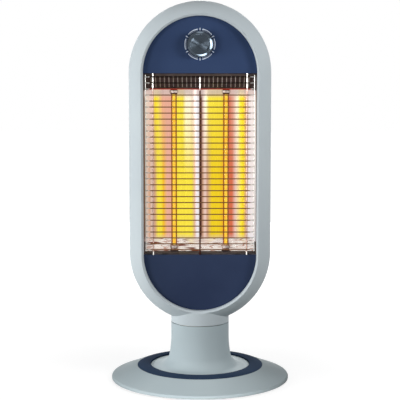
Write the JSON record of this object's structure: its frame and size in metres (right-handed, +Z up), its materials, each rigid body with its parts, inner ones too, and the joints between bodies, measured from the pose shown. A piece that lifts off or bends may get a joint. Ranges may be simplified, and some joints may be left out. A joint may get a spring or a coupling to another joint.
{
  "type": "oscillating radiant tower heater",
  "caption": "Upright radiant heater: rounded head with glowing quartz tubes behind a wire guard and a dial, swinging on the neck of a weighted round foot.",
  "frame": {"origin": "on the floor under the middle of the round foot, on the head's swing axis", "axes": "+Z up along the swing axis, -Y out of the front window, +X to the viewer's right"},
  "size_m": [0.304, 0.304, 0.6452],
  "materials": {
    "shell_grey": "satin",
    "panel_navy": "semi-gloss",
    "black_enamel": "matt black enamel",
    "bright_aluminium": "polished",
    "guard_chrome": "plated wire",
    "quartz": "clear",
    "glowing_strip": "hot carbon strip",
    "white_ceramic": "unglazed",
    "zinc_steel": "zinc plated",
    "plate_steel": "black",
    "ballast_iron": "as cast",
    "soft_rubber": "matt",
    "white_plastic": "natural",
    "black_plastic": "matt",
    "nut_brass": "plain",
    "knob_bright": "smoked chrome"
  },
  "bodies": {
    "base": {"base_shell": "shell_grey", "accent_ring": "panel_navy", "base_plate": "plate_steel", "base_screws": "zinc_steel", "rubber_feet": "soft_rubber", "ballast_ring": "ballast_iron", "cord_gland": "soft_rubber", "pedestal": "shell_grey", "pedestal_screws": "zinc_steel", "motor_plate": "zinc_steel", "motor_plate_screws": "zinc_steel", "oscillation_motor": "zinc_steel", "motor_screws": "zinc_steel", "glide_ring": "white_plastic", "plunger_guide": "white_plastic", "plunger_spring": "zinc_steel", "tip_switch": "black_plastic", "switch_bracket": "zinc_steel"},
    "head": {"swivel_plate": "white_plastic", "swivel_screws": "zinc_steel", "swivel_retainer": "zinc_steel", "drive_yoke": "white_plastic", "yoke_screws": "zinc_steel", "front_housing": "shell_grey", "rear_cover": "shell_grey", "housing_screws": "zinc_steel", "upper_panel": "panel_navy", "lower_panel": "panel_navy", "chassis_plate": "zinc_steel", "reflector_left": "bright_aluminium", "reflector_right": "bright_aluminium", "vent_louvre": "black_enamel", "window_sill": "black_enamel", "lower_reflector": "bright_aluminium", "quartz_tube_left": "quartz", "quartz_tube_right": "quartz", "filament_left": "glowing_strip", "filament_right": "glowing_strip", "upper_tube_caps": "white_ceramic", "lower_tube_caps": "white_ceramic", "tube_clips": "zinc_steel", "wire_guard": "guard_chrome", "selector_switch": "black_plastic", "switch_nut": "nut_brass", "thermal_cutout": "black_plastic", "terminal_block": "white_plastic"},
    "crank": {"motor_shaft": "zinc_steel", "crank_disc": "white_plastic", "crank_roller": "white_plastic"},
    "plunger": {"tip_plunger": "black_plastic", "plunger_clip": "zinc_steel"},
    "knob": {"control_knob": "knob_bright", "knob_cap": "knob_bright", "selector_shaft": "zinc_steel"}
  },
  "joints": [
    {"name": "head_swing", "type": "hinge", "parent": "base", "child": "head", "pos_m": [0, 0, 0.1], "axis": [0, 0, 1], "range_deg": [-35, 35]},
    {"name": "crank_turn", "type": "hinge", "parent": "base", "child": "crank", "pos_m": [0, 0.014, 0.09], "axis": [0, 0, 1], "range_deg": [-90, 90]},
    {"name": "plunger_travel", "type": "slide", "parent": "base", "child": "plunger", "axis": [0, 0, -1], "range_m": [0, 0.005], "stiffness_N_per_m": 60, "springref_m": 0.01, "deforming": ["plunger_spring"]},
    {"name": "knob_turn", "type": "hinge", "parent": "head", "child": "knob", "pos_m": [0, -0.04, 0.5732], "axis": [0, -1, 0], "range_deg": [0, 300]}
  ],
  "couplings": [
    {"joint": "crank_turn", "follows": "head_swing", "ratio": 2.5714}
  ]
}
